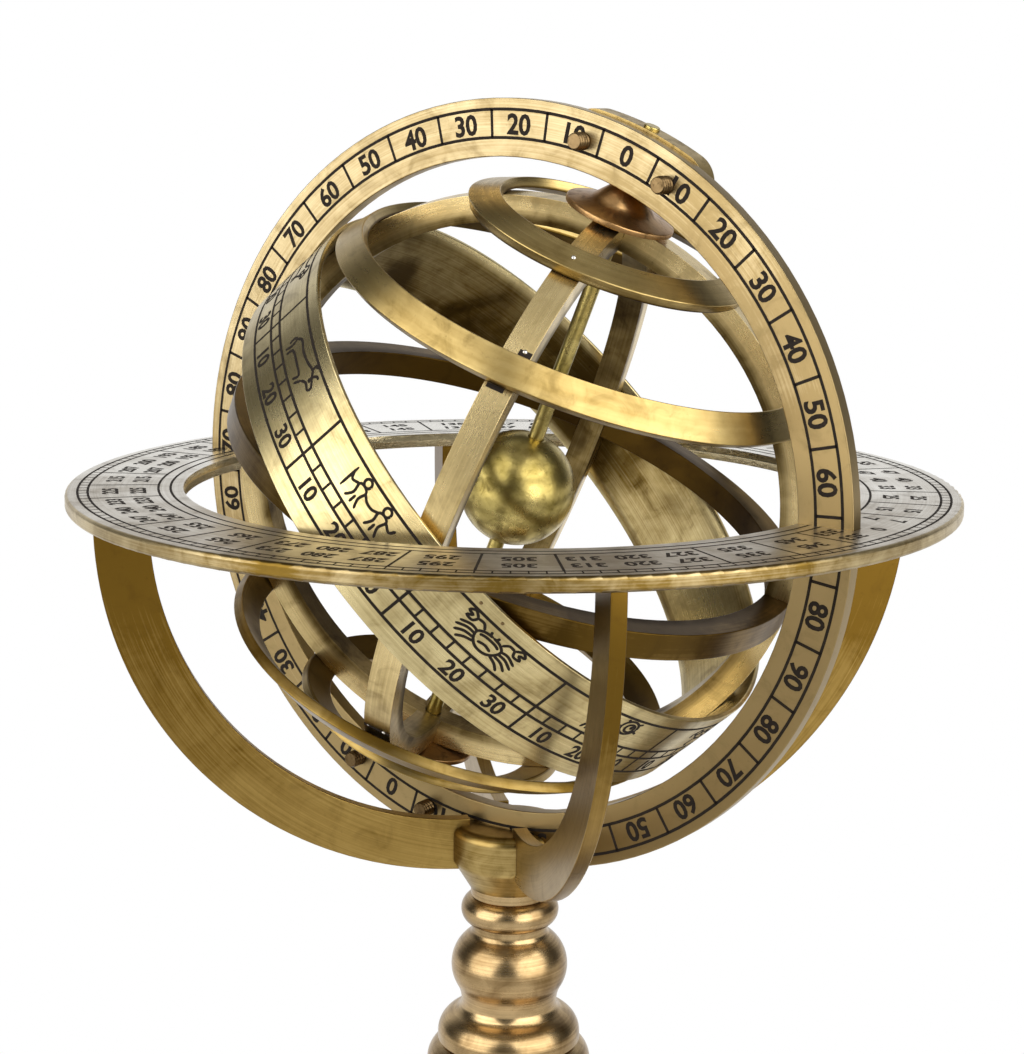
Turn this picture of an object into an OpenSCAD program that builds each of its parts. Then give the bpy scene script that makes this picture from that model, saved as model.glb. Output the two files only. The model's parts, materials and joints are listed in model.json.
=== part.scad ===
// Armillary sphere on a turned brass column.
// Three square-section great circles are half-lapped into one cage. Four
// plain hoops and the wide zodiac band are wrapped over the cage, and the whole
// turns on a polar rod that carries the earth ball. The rod is held by two
// blocks on the back of the meridian ring, which slides round in two notches of
// the horizon ring and in a slot of the column's head.
// The table is z = 0 and the column stands on the Z axis.

/* [Polar axis] */
// Lean of the polar axis from upright, in degrees
pole_tilt = 22.5; // [22:0.5:40]
// Place of the polar axis behind the column's axis
axis_y = 1.0; // [0:0.1:1.6]
// Turn of the cage about the polar axis, in degrees
cage_turn = 17.5; // [0:0.5:45]
// Radius of the polar rod
rod_r = 1.6; // [1.2:0.1:2]
// Length of rod that stands out past each bearing block
rod_proud = 0.6; // [0.2:0.1:2]
// Radius of the earth ball
ball_r = 11.8; // [8:0.2:20]

/* [Cage] */
// Outer radius of the two colures and the equator
cage_r = 60.4; // [56:0.2:64]
// Radial depth of the great circles' square bar
bar_d = 5.4; // [4:0.2:7]
// Width of the great circles' square bar
bar_w = 5.6; // [5:0.2:7]
// Thickness of the hoops, and of the zodiac band in the middle
band_t = 2.2; // [1.4:0.1:2.8]
// Width of the tropic and polar hoops
band_w = 6.3; // [4:0.1:8]
// Latitude of the two polar hoops, in degrees
polar_lat = 65.2; // [62:0.1:68]
// Lean of the Capricorn hoop out from the cage, in degrees
capricorn_lean = 8; // [0:0.5:10]
// Gap between the Capricorn hoop and the zodiac band
capricorn_gap = 2.3; // [0.1:0.1:2.5]
// Width of the zodiac band north of its middle line
zodiac_north = 9.8; // [8:0.1:11]
// Width of the zodiac band south of its middle line
zodiac_south = 12.2; // [8:0.1:12.5]
// Thickness of the zodiac band at its rims
zodiac_rim = 0.9; // [0.6:0.1:1.3]
// Width of the bevels inside the zodiac band's rims
zodiac_bevel = 3; // [1:0.1:5]
// Lean of the zodiac band from the equator, in degrees
ecliptic_tilt = 27.3; // [23.5:0.1:28]

/* [Hubs] */
// Height of each hub, from the cage to the meridian ring
hub_h = 6.2; // [5:0.1:9]
// Radius of a hub's brim
brim_r = 11; // [9:0.2:14]
// Height of the brim's upright edge
brim_edge = 1.1; // [0.6:0.1:1.6]
// Height of the brim's sloping top
brim_rise = 1.2; // [0.6:0.1:1.8]
// Radius at the foot of a hub's cone
cone_r = 6.6; // [5:0.1:8]
// Radius at the top of a hub's cone
cone_top_r = 3; // [2.6:0.1:4]

/* [Meridian ring] */
// Radial width of the meridian ring
meridian_w = 11.4; // [9:0.2:14]
// Thickness of the meridian ring
meridian_t = 3.2; // [2:0.1:4]
// Brass left on each side of the rod in a bearing block
block_wall = 0.7; // [0.5:0.1:1.5]
// How far a block stands out past the meridian ring's edge
block_proud = 0.5; // [0.2:0.1:1.5]
// Angle from a pole to each of its two screws, in degrees
screw_angle = 8; // [6:0.5:10]
// Radius of the screws' shanks
screw_r = 1.5; // [1:0.1:2]
// Radius of the screws' heads
screw_head_r = 2.8; // [2.4:0.1:3.4]
// Height of the screws' heads
screw_head_h = 1.6; // [1:0.1:2.4]
// Length of thread that stands out of the meridian ring's face
screw_proud = 3.3; // [1:0.1:4]

/* [Horizon ring] */
// Radial width of the horizon ring
horizon_w = 23.2; // [19:0.2:30]
// Thickness of the horizon ring
horizon_t = 3; // [2.4:0.1:4]
// Height of the horizon ring's face above the sphere's centre
horizon_rise = 1.2; // [0.5:0.1:2.5]
// Rounding of the horizon ring's outer corners
horizon_edge = 0.8; // [0.3:0.1:1.1]

/* [Arms] */
// Gap between the meridian ring and the outside of the arms
arm_gap = 6.5; // [5:0.1:9]
// Distance from the column's axis to the centre of an arm's arc
arm_out = 9.3; // [6:0.1:11]
// Depth of the arcs' centres below the sphere's centre
arm_drop = 5; // [3:0.1:7]
// Radial width of the arms
arm_w = 10.9; // [7:0.1:12]
// Thickness of the arms
arm_t = 3; // [2:0.1:4]
// Turn of the arms about the column, in degrees
arm_turn = 46.5; // [42:0.5:48]
// Height of the tenon on top of each arm
tenon_h = 1.4; // [0.8:0.1:1.6]
// Shoulder left on each side of a tenon
tenon_step = 2; // [1:0.1:3]

/* [Head] */
// Depth of the meridian ring's slot in the head
slot_depth = 7.2; // [5:0.2:9]
// Depth of the arms' roots in the head
root_depth = 3.6; // [3:0.1:6]
// Brass between an arm's root and the meridian ring's slot
head_web = 0.5; // [0.3:0.1:1.5]
// Brass below the arms' roots
head_foot = 4.4; // [3:0.1:6]
// Rounding of the head's top edge
head_edge = 2; // [1:0.1:3]
// Radius at the bottom of the head
head_foot_r = 8.6; // [8.5:0.1:9.5]
// Height of the cone at the bottom of the head
head_cone_h = 6.4; // [4:0.1:8]

/* [Upper column] */
// Radius of the neck under the head
top_neck_r = 8.3; // [8.2:0.1:9.5]
// Length of the neck under the head
top_neck_h = 2; // [1:0.1:4]
// Radius of the upper bead
bead_r = 10.3; // [9.8:0.1:13]
// Height of the upper bead
bead_h = 6.5; // [4:0.1:8]
// Radius of the neck above the bulb
bulb_neck_r = 8; // [6:0.1:8.1]
// Length of the neck above the bulb
bulb_neck_h = 1; // [0.2:0.1:3]
// Radius of the hollow above the bulb
neck_cove = 1.6; // [0.6:0.1:4]
// Radius of the bulb
bulb_r = 12.3; // [11.5:0.1:14]
// Radius of the bulb's rounding
bulb_round = 8.2; // [7:0.1:9]
// Radius of the waist under the bulb
waist_r = 10.1; // [9:0.1:11]
// Radius of the hollow between the bulb and the waist
bulb_cove = 7.5; // [4:0.1:16]
// Radius of the hollow between the waist and the shoulder
waist_cove = 2.6; // [2:0.1:6]
// Radius of the shoulder at the foot of the upper column
shoulder_r = 15.1; // [14:0.1:16]
// Radius of the shoulder's rounding
shoulder_round = 5; // [4:0.1:6]
// Height of the shoulder's upright edge
shoulder_edge = 1.3; // [0.5:0.1:3]

/* [Lower column] */
// Radius of the collar between the two halves of the column
collar_r = 17.4; // [16.5:0.1:24]
// Height of the collar
collar_h = 10; // [6:0.1:12]
// Radius of the neck under the collar
vase_neck_r = 9.5; // [8:0.1:12]
// Length of the neck under the collar
vase_neck_h = 3; // [1:0.1:6]
// Radius of the hollow above the vase
vase_neck_cove = 3; // [2:0.1:6]
// Radius of the vase's belly
vase_r = 14.6; // [12.5:0.1:17]
// Radius of the vase's rounding
vase_round = 11; // [9:0.1:12]
// Radius of the stem under the vase
stem_r = 7.6; // [6:0.1:9]
// Length of the straight stem
stem_h = 2.8; // [0.5:0.1:6]
// Radius of the long hollow between the vase and the stem
stem_cove = 126; // [60:1:160]
// Radius of the lower bead
low_bead_r = 11.4; // [9.5:0.1:14]
// Height of the lower bead
low_bead_h = 5.8; // [4:0.1:8]
// Radius at the top of the column's foot
foot_top_r = 8.4; // [7:0.1:10]
// Radius at the bottom of the column's foot
foot_r = 19; // [16:0.1:22]
// Height of the column's foot
foot_h = 12; // [8:0.5:16]
// Height of the flat edge round the column's foot
foot_edge = 2.4; // [1:0.1:4]

/* [Base] */
// Radius of the base
base_r = 57.5; // [50:0.5:70]
// Height of the base's rounded outer edge
base_edge = 6; // [4:0.1:8]
// Width of the flat step inside the outer edge
base_step = 5; // [3:0.5:10]
// Height of the hollow slope of the base
base_slope_h = 10; // [6:0.5:16]
// Height of the round cap in the middle of the base
base_cap_h = 3.6; // [2:0.1:6]
// Radius of that cap
base_cap_r = 23; // [22:0.1:30]

/* [Tie rod] */
// Radius of the rod that holds the column together
tie_r = 2.5; // [2:0.1:3]
// Brass between that rod and the meridian ring's slot
tie_cover = 2.3; // [1.5:0.1:3]
// Width across the corners of the nut under the base
nut_w = 11; // [9:0.5:13]
// Height of the nut
nut_h = 4; // [3:0.1:5]
// Radius of the nut's recess
recess_r = 9; // [8:0.1:14]
// Depth of the nut's recess
recess_h = 6; // [5.5:0.1:8]

/* [Fits] */
// Running clearance on the polar rod, on the radius
run_gap = 0.04; // [0.02:0.01:0.08]
// Clearance between fixed pieces
seat_gap = 0.03; // [0.01:0.01:0.06]
// Clearance on each side of the meridian ring where it slides
slide_gap = 0.08; // [0.05:0.01:0.15]
// End play of the cage between the bearing blocks
end_play = 0.2; // [0.1:0.05:0.3]
// Gap between the cage and the hoops wrapped over it
wrap_gap = 0.1; // [0.08:0.01:0.15]

/* [Hidden] */
$fn = 96;

// Radii, from the cage outwards
bar_in_r = cage_r - bar_d;
bar_mid_r = cage_r - bar_d / 2;
wrap_r = cage_r + wrap_gap;
band_out_r = wrap_r + band_t;
meridian_in_r = cage_r + hub_h + end_play;
meridian_r = meridian_in_r + meridian_w;
screw_circle_r = meridian_in_r + meridian_w / 2;
block_r = meridian_r + block_proud;
horizon_r = meridian_in_r + horizon_w;
arm_r = meridian_r + arm_gap - arm_out;
arm_in_r = arm_r - arm_w;

// The Cancer hoop lies against the zodiac band's north edge
cancer_lat = tropic(zodiac_north + wrap_gap);
capricorn_lat = tropic(zodiac_south + capricorn_gap);

// Depths behind and before the column's axis
block_half = rod_r + block_wall;
ring_back_y = axis_y - block_half;
ring_front_y = ring_back_y - meridian_t;

// Heights, from the table upwards
base_h = base_edge + base_slope_h + base_cap_h;
stem_z = foot_h + low_bead_h + stem_h;
vase_z = stem_z + rise(stem_r, vase_r, vase_round, stem_cove);
vase_neck_z = vase_z + rise(vase_neck_r, vase_r, vase_round, vase_neck_cove);
lower_h = vase_neck_z + vase_neck_h;
waist_z = shoulder_edge + rise(waist_r, shoulder_r, shoulder_round, waist_cove);
bulb_z = waist_z + rise(waist_r, bulb_r, bulb_round, bulb_cove);
bulb_neck_z = bulb_z + rise(bulb_neck_r, bulb_r, bulb_round, neck_cove);
bead_z = bulb_neck_z + bulb_neck_h;
upper_h = bead_z + bead_h + top_neck_h;
collar_z = base_h + lower_h;
upper_z = collar_z + collar_h;
head_z = upper_z + upper_h;
centre_h = head_z + head_foot + arm_r + arm_drop;
head_h = centre_h - meridian_r + slot_depth - head_z;
horizon_z = centre_h + horizon_rise - horizon_t;

// The arms' roots stop short of the meridian ring's slot
arm_root_r = (-ring_front_y + arm_t / 2 + head_web) / sin(arm_turn);
head_r = arm_root_r + root_depth;

// Latitude of a hoop whose edge clears the ecliptic by gap
function tropic(gap) = ecliptic_tilt + atan(gap / wrap_r) + atan(band_w / 2 / wrap_r);

// Height from a neck to the crest of a belly that a hollow joins smoothly
function rise(neck, crest, round_r, cove) =
    sqrt(pow(round_r + cove, 2) - pow(neck + cove - crest + round_r, 2));

// ---- Frames ----

// Origin at the sphere's centre, axes upright
module at_centre() {
    translate([0, 0, centre_h]) children();
}

// Origin at the centre of the arc of the arm that lies over +X, Z across the arm
module at_arc() {
    at_centre() translate([arm_out, 0, -arm_drop]) rotate([90, 0, 0]) children();
}

// Origin on the polar axis, Z along it towards the north pole
module on_axis() {
    at_centre() translate([0, axis_y, 0]) rotate([0, pole_tilt, 0]) children();
}

// The same, turned with the cage: X towards the solstices
module in_cage() {
    on_axis() rotate([0, 0, cage_turn]) children();
}

// ---- Turned profiles, drawn in the half plane x >= 0 ----

// A half-round bead whose crest lies at r, standing on the X axis
module bead(r, h) {
    square([r - h / 2, h]);
    translate([r - h / 2, h / 2]) circle(h / 2);
}

// A round belly with its crest at r, centred on the X axis
module belly(r, round_r) {
    translate([0, -round_r]) square([r - round_r, 2 * round_r]);
    intersection() {
        translate([r - round_r, 0]) circle(round_r);
        translate([0, -round_r]) square([r, 2 * round_r]);
    }
}

// The hollow from a neck on the X axis up to the belly above it, which it meets
// without a corner
module cove(neck, crest, round_r, cove_r) {
    share = cove_r / (cove_r + round_r);
    out = neck + cove_r - crest + round_r;
    difference() {
        square([neck + cove_r - out * share, rise(neck, crest, round_r, cove_r) * share]);
        translate([neck + cove_r, 0]) circle(cove_r, $fn = 180);
    }
}

// A straight taper from radius r1 at the foot to r2 at the top
module taper(r1, r2, h) {
    polygon([[0, 0], [r1, 0], [r2, h], [0, h]]);
}

// A hollow slope from radius r1, where it lies flat, up to r2
module hollow_slope(r1, r2, h) {
    cove = (pow(r1 - r2, 2) + pow(h, 2)) / (2 * h);
    difference() {
        square([r1, h]);
        translate([r1, cove]) circle(cove, $fn = 180);
    }
}

// ---- Hoops, drawn about the Z axis ----

// A flat ring of rectangular section, centred on z = 0
module flat_ring(out_r, in_r, h) {
    rotate_extrude($fn = 180)
        translate([in_r, -h / 2]) square([out_r - in_r, h]);
}

// A hoop at latitude lat that lies flat against the sphere, or leans out from
// its south edge
module hoop(lat, lean = 0) {
    rotate_extrude($fn = 180)
        rotate(lat) translate([wrap_r, -band_w / 2]) rotate(-lean) square([band_t, band_w]);
}

// A square-section block at the +X side of a great circle, between two radii
module lap(r1, r2, wide, high) {
    translate([r1, -wide / 2, -high / 2]) cube([r2 - r1, wide, high]);
}

// ---- Base and column ----

module base() {
    slope_r = base_r - base_edge / 2 - base_step;
    color([0.62, 0.5, 0.27]) difference() {
        rotate_extrude() {
            bead(base_r, base_edge);
            translate([0, base_edge]) hollow_slope(slope_r, base_cap_r, base_slope_h);
            translate([0, base_edge + base_slope_h]) bead(base_cap_r, base_cap_h);
        }
        tie_bore();
        translate([0, 0, -1]) cylinder(r = recess_r, h = recess_h + 1);
    }
}

// The hole for the tie rod, from below the base up to its blind end
module tie_bore() {
    translate([0, 0, -1])
        cylinder(r = tie_r + seat_gap, h = centre_h - meridian_r - tie_cover + 1);
}

module column_lower() {
    color([0.66, 0.54, 0.3]) difference() {
        translate([0, 0, base_h]) rotate_extrude() {
            square([stem_r, lower_h]);
            square([foot_r, foot_edge]);
            translate([0, foot_edge]) hollow_slope(foot_r, foot_top_r, foot_h - foot_edge);
            translate([0, foot_h]) bead(low_bead_r, low_bead_h);
            translate([0, stem_z]) cove(stem_r, vase_r, vase_round, stem_cove);
            translate([0, vase_z]) belly(vase_r, vase_round);
            translate([0, vase_neck_z]) mirror([0, 1])
                cove(vase_neck_r, vase_r, vase_round, vase_neck_cove);
            translate([0, vase_z]) square([vase_neck_r, lower_h - vase_z]);
        }
        tie_bore();
    }
}

module column_collar() {
    color([0.7, 0.58, 0.33]) difference() {
        translate([0, 0, collar_z]) rotate_extrude() bead(collar_r, collar_h);
        tie_bore();
    }
}

module column_upper() {
    color([0.66, 0.54, 0.3]) difference() {
        translate([0, 0, upper_z]) rotate_extrude() {
            square([bulb_neck_r, upper_h]);
            square([shoulder_r, shoulder_edge]);
            translate([0, shoulder_edge]) intersection() {
                belly(shoulder_r, shoulder_round);
                square([shoulder_r, shoulder_round]);
            }
            translate([0, waist_z]) {
                mirror([0, 1]) cove(waist_r, shoulder_r, shoulder_round, waist_cove);
                cove(waist_r, bulb_r, bulb_round, bulb_cove);
            }
            translate([0, bulb_z]) belly(bulb_r, bulb_round);
            translate([0, bulb_neck_z]) mirror([0, 1])
                cove(bulb_neck_r, bulb_r, bulb_round, neck_cove);
            translate([0, bead_z]) bead(bead_r, bead_h);
            translate([0, upper_h - top_neck_h]) square([top_neck_r, top_neck_h]);
        }
        tie_bore();
    }
}

module tie_rod() {
    foot = recess_h - nut_h - 1;
    color([0.45, 0.43, 0.4]) translate([0, 0, foot])
        cylinder(r = tie_r, h = centre_h - meridian_r - tie_cover - foot - seat_gap);
}

module base_nut() {
    color([0.5, 0.47, 0.42]) translate([0, 0, recess_h - nut_h]) difference() {
        cylinder(d = nut_w, h = nut_h, $fn = 6);
        translate([0, 0, -1]) cylinder(r = tie_r + seat_gap, h = nut_h + 2);
    }
}

// ---- Head, arms and horizon ----

module arm_head() {
    color([0.6, 0.48, 0.26]) difference() {
        translate([0, 0, head_z]) rotate_extrude() {
            taper(head_foot_r, head_r, head_cone_h);
            translate([0, head_cone_h])
                square([head_r, head_h - head_edge - head_cone_h]);
            translate([0, head_cone_h])
                square([head_r - head_edge, head_h - head_cone_h]);
            translate([head_r - head_edge, head_h - head_edge]) circle(head_edge);
        }
        for (k = [0:3]) rotate(arm_turn + 90 * k) arm_slot();
        at_centre() translate([0, ring_front_y - slide_gap, 0]) rotate([-90, 0, 0])
            cylinder(r = meridian_r + slide_gap, h = meridian_t + 2 * slide_gap, $fn = 360);
        tie_bore();
    }
}

// The slot for one arm's root: it follows the arm's lower edge and is open above
module arm_slot() {
    wide = arm_t + 2 * seat_gap;
    intersection() {
        at_arc() cylinder(r = arm_r + seat_gap, h = wide, center = true, $fn = 360);
        translate([arm_root_r - seat_gap, -wide / 2, head_z])
            cube([head_r, wide, head_h + 1]);
    }
}

module arm(turn) {
    low = head_z;
    color([0.55, 0.44, 0.2]) rotate(turn) {
        intersection() {
            at_arc() difference() {
                cylinder(r = arm_r, h = arm_t, center = true, $fn = 360);
                cylinder(r = arm_in_r, h = arm_t + 1, center = true, $fn = 360);
            }
            translate([arm_root_r, -arm_t, low])
                cube([arm_out + arm_r, 2 * arm_t, horizon_z - low]);
        }
        tenon(0);
    }
}

// The tenon on top of an arm, or its mortise when gap is more than 0
module tenon(gap) {
    top_r = arm_out + sqrt(pow(arm_in_r, 2) - pow(horizon_z - centre_h + arm_drop, 2));
    translate([top_r + tenon_step - gap, -arm_t / 2 - gap, horizon_z - gap])
        cube([arm_w - 2 * tenon_step + 2 * gap, arm_t + 2 * gap, tenon_h + 2 * gap]);
}

module horizon_ring() {
    notch_w = meridian_t + 2 * slide_gap;
    color([0.72, 0.66, 0.5]) difference() {
        translate([0, 0, horizon_z]) rotate_extrude($fn = 180) {
            translate([meridian_in_r, 0])
                square([horizon_w - horizon_edge, horizon_t]);
            translate([meridian_in_r, horizon_edge])
                square([horizon_w, horizon_t - 2 * horizon_edge]);
            for (z = [horizon_edge, horizon_t - horizon_edge])
                translate([horizon_r - horizon_edge, z]) circle(horizon_edge);
        }
        for (side = [0, 1]) mirror([side, 0, 0])
            translate([cage_r, ring_front_y - slide_gap, horizon_z - 1])
                cube([meridian_r + slide_gap - cage_r, notch_w, horizon_t + 2]);
        for (k = [0:3]) rotate(arm_turn + 90 * k) tenon(seat_gap);
    }
}

// ---- Meridian ring, blocks and rod ----

// Children at the four screws of the two blocks, Z pointing to the back
module at_screws(poles) {
    for (pole = poles, side = [-1, 1])
        on_axis() rotate([0, pole + side * screw_angle, 0])
            translate([0, 0, screw_circle_r]) rotate([-90, 0, 0]) children();
}

module screw_holes(poles) {
    at_screws(poles)
        translate([0, 0, -block_half - meridian_t - 1])
            cylinder(r = screw_r + seat_gap, h = 2 * block_half + meridian_t + 2);
}

module meridian_ring() {
    color([0.7, 0.6, 0.38]) difference() {
        at_centre() translate([0, ring_front_y, 0]) rotate([-90, 0, 0]) difference() {
            cylinder(r = meridian_r, h = meridian_t, $fn = 360);
            translate([0, 0, -1])
                cylinder(r = meridian_in_r, h = meridian_t + 2, $fn = 360);
        }
        screw_holes([0, 180]);
    }
}

// A bearing block: a short piece of ring with round ends, bored for the rod
module block(pole) {
    mid_r = (meridian_in_r + block_r) / 2;
    half_w = (block_r - meridian_in_r) / 2;
    color([0.58, 0.45, 0.22]) difference() {
        on_axis() rotate([0, pole, 0]) rotate([-90, 0, 0])
            translate([0, 0, -block_half]) linear_extrude(2 * block_half) mirror([0, 1]) {
                intersection() {
                    difference() {
                        circle(block_r, $fn = 360);
                        circle(meridian_in_r, $fn = 360);
                    }
                    polygon([[0, 0], for (s = [-1, 1])
                        [s * 2 * block_r * sin(screw_angle), 2 * block_r * cos(screw_angle)]]);
                }
                for (s = [-1, 1]) rotate(s * screw_angle) translate([0, mid_r]) circle(half_w);
            }
        on_axis() rotate([0, pole, 0]) cylinder(r = rod_r + seat_gap, h = 2 * block_r);
        screw_holes([pole]);
    }
}

module block_screws() {
    shank = 2 * block_half + meridian_t + screw_proud;
    color([0.5, 0.4, 0.22]) at_screws([0, 180]) {
        translate([0, 0, block_half - shank]) cylinder(r = screw_r, h = shank);
        translate([0, 0, block_half]) difference() {
            cylinder(r = screw_head_r, h = screw_head_h);
            translate([-screw_head_r, -0.35, screw_head_h / 2])
                cube([2 * screw_head_r, 0.7, screw_head_h]);
        }
    }
}

module polar_rod() {
    half = block_r + rod_proud;
    color([0.6, 0.5, 0.26]) on_axis() translate([0, 0, -half])
        cylinder(r = rod_r, h = 2 * half);
}

module earth_ball() {
    color([0.62, 0.52, 0.24]) on_axis() difference() {
        sphere(ball_r);
        cylinder(r = rod_r + seat_gap, h = 3 * ball_r, center = true);
    }
}

// ---- Cage ----

// The hole through a colure where the rod passes
module pole_hole() {
    cylinder(r = rod_r + 4 * run_gap, h = 3 * cage_r, center = true);
}

// A great circle in the XZ plane. It is halved on the outside where it meets
// the equator. At the poles it is halved on the outside or on the inside.
module colure(outside) {
    lap_w = bar_w + 2 * seat_gap;
    r1 = outside ? bar_mid_r - seat_gap / 2 : bar_in_r - 1;
    r2 = outside ? cage_r + 1 : bar_mid_r + seat_gap / 2;
    difference() {
        rotate([90, 0, 0]) flat_ring(cage_r, bar_in_r, bar_w);
        for (turn = [0, 180]) rotate([0, turn, 0])
            lap(bar_mid_r - seat_gap / 2, cage_r + 1, 2 * bar_w, lap_w);
        for (turn = [90, 270]) rotate([0, turn, 0]) lap(r1, r2, 2 * bar_w, lap_w);
        pole_hole();
    }
}

module solstice_colure() {
    color([0.57, 0.46, 0.22]) in_cage() colure(true);
}

module equinox_colure() {
    color([0.57, 0.46, 0.22]) in_cage() rotate(90) colure(false);
}

module equator_ring() {
    lap_w = bar_w + 2 * seat_gap;
    color([0.6, 0.49, 0.25]) in_cage() difference() {
        flat_ring(cage_r, bar_in_r, bar_w);
        for (k = [0:3]) rotate(90 * k)
            lap(bar_in_r - 1, bar_mid_r + seat_gap / 2, lap_w, 2 * bar_w);
    }
}

module cancer_hoop() {
    color([0.66, 0.56, 0.32]) in_cage() hoop(cancer_lat);
}

module capricorn_hoop() {
    color([0.6, 0.5, 0.28]) in_cage() hoop(-capricorn_lat, capricorn_lean);
}

module arctic_hoop() {
    color([0.6, 0.5, 0.28]) in_cage() hoop(polar_lat);
}

module antarctic_hoop() {
    color([0.6, 0.5, 0.28]) in_cage() hoop(-polar_lat);
}

module zodiac_band() {
    color([0.74, 0.64, 0.38]) in_cage() rotate([0, ecliptic_tilt, 0])
        rotate_extrude($fn = 180) polygon([
            [wrap_r, -zodiac_south + zodiac_bevel],
            [band_out_r - zodiac_rim, -zodiac_south],
            [band_out_r, -zodiac_south],
            [band_out_r, zodiac_north],
            [band_out_r - zodiac_rim, zodiac_north],
            [wrap_r, zodiac_north - zodiac_bevel]
        ]);
}

// A hub with a flat brim and a cone, turning on the rod
module hub(pole) {
    color([0.5, 0.36, 0.18]) on_axis() rotate([0, pole, 0])
        translate([0, 0, cage_r + seat_gap]) difference() {
            rotate_extrude() {
                square([brim_r, brim_edge]);
                translate([0, brim_edge]) taper(brim_r, cone_r, brim_rise);
                translate([0, brim_edge + brim_rise])
                    taper(cone_r, cone_top_r, hub_h - brim_edge - brim_rise - seat_gap);
            }
            cylinder(r = rod_r + run_gap, h = 4 * hub_h, center = true);
        }
}

base();
column_lower();
column_collar();
column_upper();
tie_rod();
base_nut();
arm_head();
arm(arm_turn);  // arm_1
arm(arm_turn + 90);  // arm_2
arm(arm_turn + 180);  // arm_3
arm(arm_turn + 270);  // arm_4
horizon_ring();
meridian_ring();
block(0);  // north_block
block(180);  // south_block
block_screws();
polar_rod();
earth_ball();
solstice_colure();
equinox_colure();
equator_ring();
cancer_hoop();
capricorn_hoop();
arctic_hoop();
antarctic_hoop();
zodiac_band();
hub(0);  // north_hub
hub(180);  // south_hub
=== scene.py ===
"""Finishes, engraving and studio for a brass armillary sphere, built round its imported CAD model."""

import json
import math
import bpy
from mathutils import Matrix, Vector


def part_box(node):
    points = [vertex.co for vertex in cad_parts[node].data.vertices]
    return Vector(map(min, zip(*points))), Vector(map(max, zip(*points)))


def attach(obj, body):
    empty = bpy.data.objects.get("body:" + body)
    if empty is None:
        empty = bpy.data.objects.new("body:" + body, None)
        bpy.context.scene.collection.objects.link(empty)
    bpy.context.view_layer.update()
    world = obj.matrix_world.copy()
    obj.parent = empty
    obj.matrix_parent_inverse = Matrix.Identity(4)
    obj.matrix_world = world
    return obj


bl_info = {
    "name": "Armillary Sphere",
    "version": (1, 0, 0),
    "blender": (4, 5, 0),
    "location": "3D View > Sidebar > Armillary",
    "description": "Brass finishes, engraved scales and a pale studio for an armillary sphere",
    "category": "Add Mesh",
}

import bmesh
import bpy
from bpy.props import FloatProperty, FloatVectorProperty, PointerProperty
from mathutils import Matrix, Vector

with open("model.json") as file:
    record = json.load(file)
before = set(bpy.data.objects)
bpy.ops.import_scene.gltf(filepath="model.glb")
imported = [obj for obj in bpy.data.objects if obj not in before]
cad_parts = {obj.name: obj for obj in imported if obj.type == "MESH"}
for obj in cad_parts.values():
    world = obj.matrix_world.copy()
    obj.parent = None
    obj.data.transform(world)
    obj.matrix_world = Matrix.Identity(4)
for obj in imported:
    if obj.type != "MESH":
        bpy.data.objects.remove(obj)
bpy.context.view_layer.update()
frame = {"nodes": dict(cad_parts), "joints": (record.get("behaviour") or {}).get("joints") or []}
MM = 0.001

# ---- Places, taken from the frame ----

JOINTS = {joint["name"]: joint for joint in frame["joints"]}
CENTRE = Vector(JOINTS["meridian_tilt"]["pos_m"])
POLE = Vector(JOINTS["polar_spin"]["axis"]).normalized()
AXIS_POINT = Vector(JOINTS["polar_spin"]["pos_m"])
UP = (0, 0, 1)


def frame_matrix(origin, x_axis, z_axis):
    """A frame at origin with Z along z_axis and X as near x_axis as it can be."""
    z = z_axis.normalized()
    y = z.cross(x_axis).normalized()
    x = y.cross(z)
    return Matrix.LocRotScale(origin, Matrix((x, y, z)).transposed(), None)


def radii(node, matrix):
    """Least and greatest distance of a node's points from the Z axis of a frame."""
    back = matrix.inverted()
    points = [back @ vertex.co for vertex in frame["nodes"][node].data.vertices]
    distances = [math.hypot(point.x, point.y) for point in points]
    return min(distances), max(distances)


POLAR = frame_matrix(AXIS_POINT, Vector((1, 0, 0)), POLE)


# ---- User settings ----


class ArmillarySizes(bpy.types.PropertyGroup):
    """Sizes of the engraving and small work."""

    cage_turn: FloatProperty(
        name="Cage turn", description="Turn of the cage about the polar axis",
        default=math.radians(17.5), subtype="ANGLE",
    )
    ecliptic_tilt: FloatProperty(
        name="Ecliptic tilt", description="Lean of the zodiac band from the equator",
        default=math.radians(27.3), subtype="ANGLE",
    )
    line_width: FloatProperty(
        name="Line width", description="Width of an engraved line",
        default=0.62 * MM, unit="LENGTH",
    )
    numeral_height: FloatProperty(
        name="Numeral height", description="Height of the meridian ring's numerals",
        default=4.0 * MM, unit="LENGTH",
    )
    fill_height: FloatProperty(
        name="Fill height", description="How far the black fill stands out of the brass",
        default=0.02 * MM, unit="LENGTH",
    )


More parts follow.
